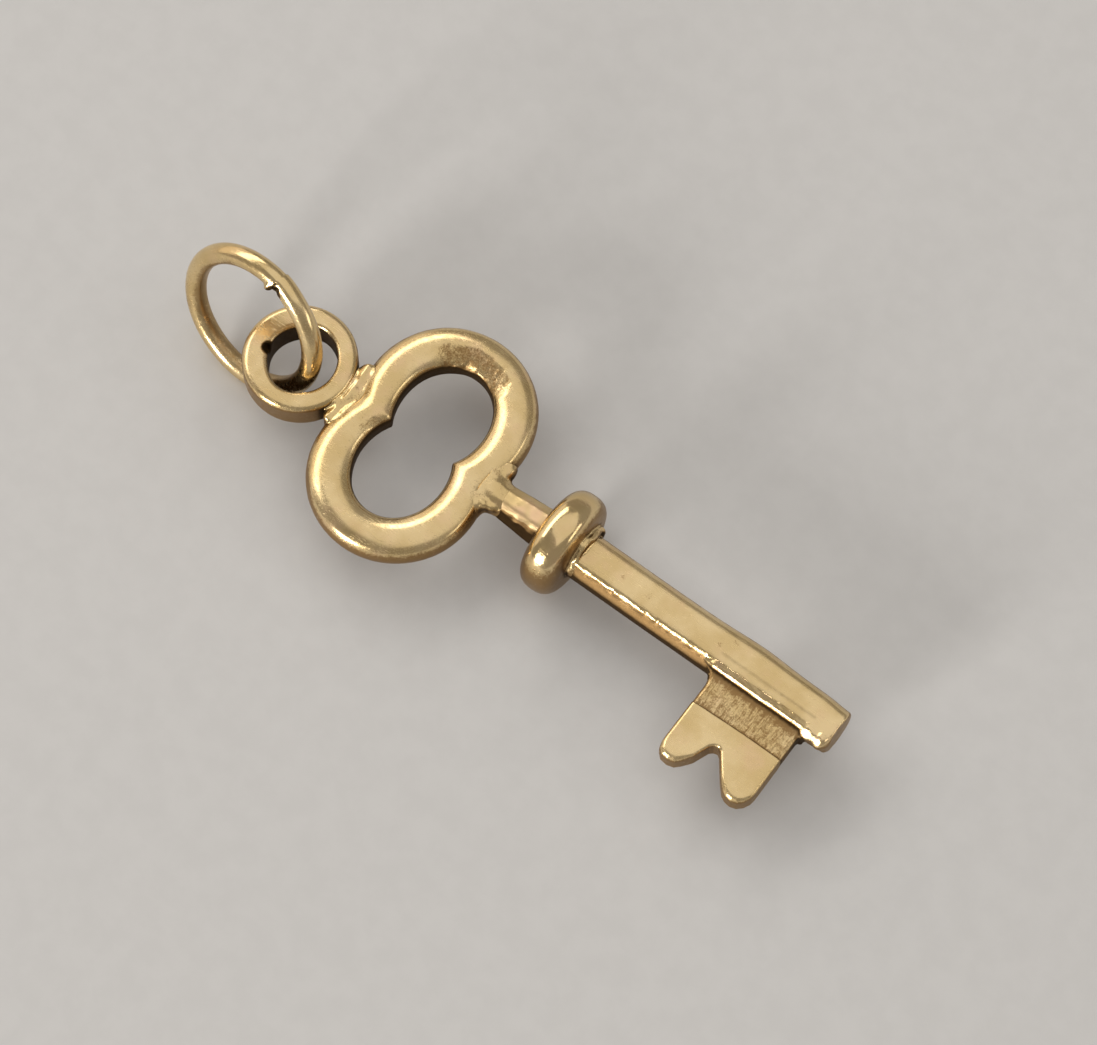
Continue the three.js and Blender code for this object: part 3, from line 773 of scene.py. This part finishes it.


# ------------------------------------------------------------------ brown places: unpolished, stained, and painted shade
# A value of 0 to 1 turns brown; what is above 1 turns deep brown. Some of it is real stain and
# wear, and some is painted shade in hollows and on sides that face away from the light.
ROOT_STAIN = 0.3
ROOT_AT = 2.9
ROOT_SIZE = (0.35, 0.9)
LEAF_STAIN = 0.5
LEAF_EDGE = (0.85, 0.6)
HOLE_WALL_SHADE = (0.12, 0.02)
HOLE_WALL_SHADE_HEIGHT = (0.46, 0.38)
FLANK_STAIN = 0.3
ROUGH_STAIN = 0.72
LOOP_WALL_SHADE = (0.08, 0.02)
LOOP_WALL_SHADE_HEIGHT = (0.66, 0.58)
LOOP_PIT_SHADE = (0.32, 0.24)
LOOP_PIT_SQUEEZE = np.array([1, 1, 0.5])
LOOP_SHADE_DEPTH = 2
BAND_EDGE = (0.0, 0.03)
BAND_STAIN = 0.62
BAND_LIMIT = 1.25
STEP_SHADOW = 0.3
STEP_AT = (0.04, 0.06)
BIT_ROOT_DARKENING = 0.55
BIT_ROOT_EDGE = (-1.3, -0.95)
BIT_ROOT_RAGGED = (0.1, (0.12, 0.5, 0.5), 26)
BIT_COMB = (0.1, (0.09, 0.5, 0.5), 24)
NECK_SHADE_SIDE = (-0.4, -0.5)
NECK_RAGGED = (0.03, 0.3, 70)
NECK_CLOUD = (0.4, 0.3, 71)
NECK_STAIN = 0.05
NECK_SHADE = 1.5
SHANK_RAGGED = (0.03, (0.2, 0.4, 0.4), 78)
SHANK_SHADE_SIDE = (-0.64, -0.7)
SHANK_SHADE = 0.95
SHANK_SHADE_END = (-0.9, -1.3)  # from the shank's tip
SHANK_ROOT = (0.05, 0.4)
SHANK_ROOT_STAIN = 0.4
SHANK_ROOT_RAGGED = (0.1, 0.3, 74)
SPOTS = (0.8, 0.95)
SPOTS_PATTERN = (0.4, 72)
SPOTS_STAIN = 0.5
WORN = (0.2, 0.8)
WORN_STAIN = 0.3
WORN_PATCHES = (0.7, 76)  # size and seed
INNER_SIDE = (0.1, 0.34)
INNER_SHADE = 0.85
INNER_RAGGED = (0.08, (0.5, 0.5, 0.5), 77)
NOTCH_SHADE = 1.8
NOTCH_REACH = (0.4, 0.3)
PLAIN_STAIN = 0.1
PLAIN_EDGE = (0.4, 0.9)
PLAIN_PATCHES = (0.6, 75)
DROP_TOP = (-0.8, -0.9)
DROP_HEIGHT = (0.66, 0.56)
DROP_SHADE = 1.1
SOLDER_CLOUD = (0.3, 73)
SOLDER_STAIN = (0.22, 0.35)  # least and how much it varies
BIT_SOLDER_STAIN = (0.15, 0.3)


def bow_stain_and_shade(p):
    x = p[:, 0] - BOW[0]
    y = p[:, 1] - BOW[1]
    z = p[:, 2] - BOW[2]
    root = ROOT_STAIN * hump(x, ROOT_AT, ROOT_SIZE[0]) * hump(y, 0, ROOT_SIZE[1])
    leaf = LEAF_STAIN * leaf_share(p) * smooth(*LEAF_EDGE, bow_hole(p))
    # Painted shade: the hole's wall, below the face, goes deep brown.
    wall = smooth(*HOLE_WALL_SHADE, bow_hole(p)) * smooth(*HOLE_WALL_SHADE_HEIGHT, np.abs(z))
    flank = FLANK_STAIN * filed_share(p, bow_outline(p))
    return np.clip(ROUGH_STAIN * rough_patch(p) + root + leaf + flank, 0, 1) + wall


def loop_shade(p):
    # Painted shade: the wall of the loop's hole and the pit in it go deep brown.
    q = p - LOOP
    wall = smooth(*LOOP_WALL_SHADE, np.hypot(q[:, 0], q[:, 1]) - loop_hole(q))
    wall = wall * smooth(*LOOP_WALL_SHADE_HEIGHT, np.abs(q[:, 2]))
    from_pit = np.linalg.norm((q - LOOP_PIT) * LOOP_PIT_SQUEEZE, axis=1)
    return np.maximum(wall, smooth(*LOOP_PIT_SHADE, from_pit)) * LOOP_SHADE_DEPTH


def bit_stain_and_shade(p):
    above = bit_step(p)
    at_root = smooth(*BIT_ROOT_EDGE, p[:, 1] + relief(p, BIT_ROOT_RAGGED))
    # Painted shadow: a dark line along the band where the plate steps up from it. The band is
    # also darker towards the shank.
    brown = BAND_STAIN + STEP_SHADOW * hump(above, *STEP_AT)
    brown = brown + BIT_ROOT_DARKENING * at_root + relief(p, BIT_COMB)
    return np.clip(smooth(*BAND_EDGE, above) * brown, 0, BAND_LIMIT)


def neck_stain_and_shade(p):
    # Painted shade: the side towards -y goes deep brown; the cloudy stain on top is real.
    under = smooth(*NECK_SHADE_SIDE, p[:, 1] + relief(p, NECK_RAGGED))
    return np.clip(NECK_STAIN + relief(p, NECK_CLOUD), 0, 1) + NECK_SHADE * under


def shank_stain_and_shade(p):
    x, y = p[:, 0], p[:, 1]
    # Painted shade: below the highlight line the side towards -y turns brown, fading out near
    # the tip.
    under = smooth(*SHANK_SHADE_SIDE, y + relief(p, SHANK_RAGGED))
    under = under * smooth(SHANK_END + SHANK_SHADE_END[0], SHANK_END + SHANK_SHADE_END[1], x)
    low, high = SHANK_ROOT
    start = 1 - smooth(SHANK_START + low, SHANK_START + high, x + relief(p, SHANK_ROOT_RAGGED))
    spots = SPOTS_STAIN * smooth(*SPOTS, noise(p, *SPOTS_PATTERN))
    return np.clip(SHANK_SHADE * under + SHANK_ROOT_STAIN * start + spots, 0, 1)


def ring_stain_and_shade(p):
    place = ring_place(p)
    from_notch = np.linalg.norm(place - np.array(SEAM_NOTCH), axis=1)
    worn = WORN_STAIN * smooth(*WORN, noise(p, *WORN_PATCHES))
    # Painted shade: the ring's inner side turns brown, and the notch at the seam deep brown.
    inner = INNER_SHADE * smooth(*INNER_SIDE, place[:, 1] + relief(p, INNER_RAGGED))
    return worn + inner + NOTCH_SHADE * smooth(*NOTCH_REACH, from_notch)


def plain_stain(p):
    return PLAIN_STAIN * smooth(*PLAIN_EDGE, noise(p, *PLAIN_PATCHES))


def cloudy_stain(p, least, amount):
    return np.clip(least + amount * noise(p, *SOLDER_CLOUD), 0, 1)


def bit_solder_stain_and_shade(p):
    # Painted shade: the drop from the seam down to the bit goes deep brown.
    drop = smooth(*DROP_TOP, p[:, 1]) * smooth(*DROP_HEIGHT, np.abs(p[:, 2]))
    return cloudy_stain(p, *BIT_SOLDER_STAIN) + DROP_SHADE * drop


def solder_stain(p):
    return cloudy_stain(p, *SOLDER_STAIN)


# ------------------------------------------------------------------ materials
class Nodes:
    """Short names for the few shader nodes used here."""

    def __init__(self, material):
        self.tree = material.node_tree
        self.tree.nodes.clear()

    def add(self, kind, links=(), **settings):
        node = self.tree.nodes.new(kind)
        for key, value in settings.items():
            setattr(node, key, value)
        for socket, source in dict(links).items():
            self.put(node, socket, source)
        return node

    def put(self, node, socket, source):
        target = node.inputs[socket]
        if hasattr(source, "is_output"):
            self.tree.links.new(source, target)
        else:
            target.default_value = source

    def math(self, operation, a, b=0.0, c=None, clamp=False):
        node = self.add("ShaderNodeMath", operation=operation, use_clamp=clamp)
        self.put(node, 0, a)
        self.put(node, 1, b)
        if c is not None:
            self.put(node, 2, c)
        return node.outputs[0]

    def about(self, value, amount):
        """How far a noise is from its middle, times amount."""
        return self.math("MULTIPLY", self.math("SUBTRACT", value, 0.5), amount)

    def plus(self, value, other, share, clamp=False):
        """Value and a share of the other."""
        return self.math("ADD", value, self.math("MULTIPLY", other, share), clamp=clamp)

    def mapped(self, vector, **settings):
        node = self.add("ShaderNodeMapping", {"Vector": vector})
        for key, value in settings.items():
            node.inputs[key].default_value = value
        return node.outputs[0]

    def mix(self, share, a, b):
        node = self.add("ShaderNodeMix", data_type="RGBA")
        self.put(node, 0, share)
        self.put(node, 6, a)
        self.put(node, 7, b)
        return node.outputs[2]

    def ramp(self, value, low, high):
        node = self.add("ShaderNodeMapRange", interpolation_type="SMOOTHSTEP")
        self.put(node, 0, value)
        self.put(node, 1, low)
        self.put(node, 2, high)
        return node.outputs[0]

    def noise(self, place, scale, detail=3.0, rough=0.55):
        node = self.add("ShaderNodeTexNoise")
        self.put(node, "Vector", place)
        self.put(node, "Scale", scale)
        self.put(node, "Detail", detail)
        self.put(node, "Roughness", rough)
        return node.outputs[0]


GOLD = (0.86, 0.665, 0.365, 1)
GOLD_DEEP = (0.73, 0.54, 0.26, 1)
GOLD_PINK = (0.86, 0.585, 0.37, 1)
BROWN = (0.24, 0.13, 0.045, 1)
# Deep brown of painted shade in hollows and corners.
SHADE_BROWN = (0.045, 0.025, 0.01, 1)
SCRATCHES = ((0.4, 0.9, 26.0), (2.0, 1.1, 31.0), (1.25, 0.7, 22.0))  # turn, scale along, across
BUMP_HEIGHT = 0.00001


def gold(name, rough, scratch, stain_and_shade, grain, pink=0.35, speck=1.0, hair=0.0):
    """Yellow gold with hand wear, stained where it is unpolished, and with painted shade in
    brown and deep brown where it is hollow or faces away from the top.

    rough is how dull it is, and scratch, stain_and_shade and grain how marked it is by each.
    pink is the share of pinker gold, and speck and hair break up the edges of the stains and of
    the painted shade.
    """
    material = bpy.data.materials.new(name)
    material.use_nodes = True
    n = Nodes(material)
    place = n.add("ShaderNodeTexCoord").outputs["Object"]
    mm = n.mapped(place, Scale=(1 / MM,) * 3)
    corner_shade = n.add("ShaderNodeAttribute", attribute_name="corner_shade").outputs["Fac"]
    marked = n.add("ShaderNodeAttribute", attribute_name="stain_and_shade").outputs["Fac"]

    cloud = n.noise(mm, 0.55, 3.0)
    tint = n.noise(mm, 0.9, 2.0)
    mottle = n.noise(mm, 4.5, 6.0, 0.65)
    fine = n.noise(mm, 17.0, 4.0, 0.6)

    lines = None
    for angle, along, across in SCRATCHES:
        turned = n.mapped(mm, Rotation=(0.3 * angle, 0.2, angle), Scale=(along, across, across))
        only = n.ramp(n.noise(turned, 1.0, 2.0, 0.5), 0.62, 0.72)
        lines = only if lines is None else n.math("MAXIMUM", lines, only)

    colour = n.mix(n.ramp(cloud, 0.35, 0.68), GOLD_DEEP, GOLD)
    colour = n.mix(n.math("MULTIPLY", n.ramp(tint, 0.5, 0.75), pink), colour, GOLD_PINK)
    speckle = n.math("MULTIPLY", n.ramp(mottle, 0.48, 0.66), 0.12)
    colour = n.mix(speckle, colour, GOLD_DEEP)
    hairs = n.noise(n.mapped(mm, Scale=(32.0, 2.2, 2.2)), 1.0, 3.0, 0.6)
    broken = n.math("MULTIPLY_ADD", n.math("SUBTRACT", fine, 0.5), 1.6 * speck, marked)
    broken = n.math("ADD", broken, n.about(mottle, 1.2 * speck))
    broken = n.math("ADD", broken, n.about(hairs, hair))
    browned = n.math("MULTIPLY", n.ramp(broken, 0.3, 0.95), stain_and_shade, clamp=True)
    colour = n.mix(browned, colour, BROWN)
    # Painted shade: deep brown in corners and hollows, and where the stain and shade value is
    # above 1.
    shut = n.math("ADD", corner_shade, n.about(mottle, 0.25))
    shut = n.math("ADD", shut, n.math("MAXIMUM", n.math("SUBTRACT", marked, 1.0), 0.0))
    shut = n.ramp(shut, 0.35, 1.0)
    colour = n.mix(n.math("MULTIPLY", shut, 0.92), colour, SHADE_BROWN)

    gloss = n.math("MULTIPLY_ADD", n.ramp(mottle, 0.35, 0.7), 0.08, rough)
    gloss = n.plus(gloss, lines, 0.10 * scratch)
    gloss = n.plus(gloss, browned, 0.22)
    gloss = n.plus(gloss, shut, 0.25, clamp=True)

    height = n.math("MULTIPLY", lines, -0.12 * scratch)
    height = n.plus(height, fine, 0.09 * grain)
    height = n.plus(height, mottle, 0.3 * grain)
    height = n.plus(height, n.math("MULTIPLY", browned, fine), 0.5)
    bump = n.add("ShaderNodeBump", {"Height": height, "Strength": 1.0, "Distance": BUMP_HEIGHT})

    shader = n.add("ShaderNodeBsdfPrincipled", {
        "Base Color": colour, "Metallic": 1.0, "Roughness": gloss, "Normal": bump.outputs[0],
    })
    out = n.add("ShaderNodeOutputMaterial")
    n.put(out, 0, shader.outputs[0])
    return material


# ------------------------------------------------------------------ pieces
POLISHED = gold("polished_gold", rough=0.2, scratch=1.0, stain_and_shade=0.85, grain=0.5)
WIRE = gold("wire_gold", rough=0.17, scratch=0.8, stain_and_shade=0.6, grain=0.4, pink=0.2)
FILED = gold("filed_gold", rough=0.24, scratch=1.0, stain_and_shade=0.85, grain=0.9, speck=0.8, hair=1.3)
NECK = gold("neck_gold", rough=0.33, scratch=1.0, stain_and_shade=0.85, grain=1.4, pink=0.9, speck=0.5)
COLLAR = gold("collar_gold", rough=0.12, scratch=0.6, stain_and_shade=0.85, grain=0.4)
SOLDER = gold("solder_gold", rough=0.2, scratch=0.3, stain_and_shade=0.8, grain=1.2, pink=0.6)

# Which fields shut each piece in, for its painted corner shade.
near = {
    "hanging_loop": [hanging_loop, loop_solder, bow],
    "bow": [bow, loop_solder, bow_solder],
    "neck": [neck, bow_solder, bow, collar],
    "collar": [collar, neck, collar_solder, shank],
    "shank": [shank, collar, collar_solder, bit, bit_solder],
    "bit": [bit, shank, bit_solder],
    "loop_solder": [loop_solder, hanging_loop, bow],
    "bow_solder": [bow_solder, bow, neck],
    "collar_solder": [collar_solder, collar, shank],
    "bit_solder": [bit_solder, shank, bit],
}
# name, field, grid step, slot, material, stain and painted shade
PIECES = [
    ("hanging_loop", hanging_loop, 0.05, "polished_gold", POLISHED, loop_shade),
    ("loop_solder", loop_solder, 0.04, "solder_gold", SOLDER, solder_stain),
    ("bow", bow, 0.05, "polished_gold", POLISHED, bow_stain_and_shade),
    ("bow_solder", bow_solder, 0.04, "solder_gold", SOLDER, solder_stain),
    ("neck", neck, 0.045, "filed_gold", NECK, neck_stain_and_shade),
    ("collar", collar, 0.055, "polished_gold", COLLAR, plain_stain),
    ("collar_solder", collar_solder, 0.04, "solder_gold", SOLDER, solder_stain),
    ("shank", shank, 0.05, "polished_gold", POLISHED, shank_stain_and_shade),
    ("bit", bit, 0.045, "filed_gold", FILED, bit_stain_and_shade),
    ("bit_solder", bit_solder, 0.04, "solder_gold", SOLDER, bit_solder_stain_and_shade),
]
for node, field, step, slot, material, stain_and_shade_of in PIECES:
    made = piece(node + "_look", node, field, step, "key", near[node], stain_and_shade_of)
    made.data.materials.append(material)
ring = piece("jump_ring_look", "jump_ring", jump_ring, 0.05, "ring", [jump_ring],
             ring_stain_and_shade, side_shade=0.35)
ring.data.materials.append(WIRE)

# ------------------------------------------------------------------ table
FLOOR_SIZE = 1.5
FLOOR_DARK = (0.6, 0.595, 0.59, 1)
FLOOR_LIGHT = (0.62, 0.615, 0.61, 1)
FLOOR_GRAIN = 900.0
FLOOR_ROUGHNESS = 0.9
half = FLOOR_SIZE / 2
floor_mesh = bpy.data.meshes.new("floor")
floor_mesh.from_pydata(
    [(-half, -half, 0), (half, -half, 0), (half, half, 0), (-half, half, 0)],
    [], [(0, 1, 2, 3)])
floor = bpy.data.objects.new("floor", floor_mesh)
bpy.context.scene.collection.objects.link(floor)
floor.location.z = float(cad_low[2])
pale = bpy.data.materials.new("pale_table")
pale.use_nodes = True
n = Nodes(pale)
place = n.add("ShaderNodeTexCoord").outputs["Object"]
tone = n.mix(n.ramp(n.noise(place, FLOOR_GRAIN, 4.0), 0.3, 0.7), FLOOR_DARK, FLOOR_LIGHT)
paper = n.add("ShaderNodeBsdfPrincipled", {"Base Color": tone, "Roughness": FLOOR_ROUGHNESS})
n.put(n.add("ShaderNodeOutputMaterial"), 0, paper.outputs[0])
floor_mesh.materials.append(pale)

# ------------------------------------------------------------------ light
CENTRE = Vector(AXIS.tolist())
# name, direction, distance, size, glow, colour
LIGHTS = [
    ("ceiling", (0.12, 0.2, 0.95), 0.6, (0.8, 0.8), 0.4, (1.0, 0.98, 0.95)),
    ("window", (-0.72, 0.2, 0.66), 0.6, (0.8, 0.22), 2.2, (1.0, 0.97, 0.92)),
    ("lamp", (-0.2, -0.94, 0.25), 0.5, (0.12, 0.12), 26.0, (1.0, 0.97, 0.93)),
    ("left_card", (-0.93, 0.1, 0.25), 0.6, (0.9, 0.25), 0.5, (1.0, 0.86, 0.76)),
    ("right_strip", (0.89, 0.28, 0.38), 0.6, (0.35, 0.12), 1.5, (1.0, 0.96, 0.9)),
]
ROOM_COLOUR = (1.0, 0.94, 0.87, 1)
ROOM_GLOW = 0.3


def soft_light(name, direction, distance, size, glow, colour):
    """Area light in that direction from the key, facing it; glow is how bright its face is."""
    direction = Vector(direction).normalized()
    data = bpy.data.lights.new(name, "AREA")
    data.shape = "RECTANGLE"
    data.size, data.size_y = size
    data.energy = 4 * size[0] * size[1] * glow
    data.color = colour
    light = bpy.data.objects.new(name, data)
    bpy.context.scene.collection.objects.link(light)
    light.location = CENTRE + direction * distance
    light.rotation_euler = direction.to_track_quat("Z", "Y").to_euler()


for light in LIGHTS:
    soft_light(*light)

world = bpy.data.worlds.new("room")
world.use_nodes = True
background = world.node_tree.nodes["Background"]
background.inputs[0].default_value = ROOM_COLOUR
background.inputs[1].default_value = ROOM_GLOW
bpy.context.scene.world = world
bpy.context.scene.view_settings.view_transform = "Standard"

# ------------------------------------------------------------------ camera
AZIMUTH, ELEVATION = math.radians(36.6), math.radians(70)
DISTANCE = 0.160
LENS = 139.7
SENSOR = 36
NEAREST = 0.005
AIM_SHIFT = (-0.92, 0.30, 0.0)
back = Vector((
    math.sin(AZIMUTH) * math.cos(ELEVATION),
    -math.cos(AZIMUTH) * math.cos(ELEVATION),
    math.sin(ELEVATION),
))
aim = CENTRE + Vector(AIM_SHIFT) * MM
camera_data = bpy.data.cameras.new("camera")
camera_data.sensor_width = SENSOR
camera_data.lens = LENS
camera_data.clip_start = NEAREST
camera = bpy.data.objects.new("camera", camera_data)
bpy.context.scene.collection.objects.link(camera)
camera.location = aim + back * DISTANCE
camera.rotation_euler = back.to_track_quat("Z", "Y").to_euler()
bpy.context.scene.camera = camera
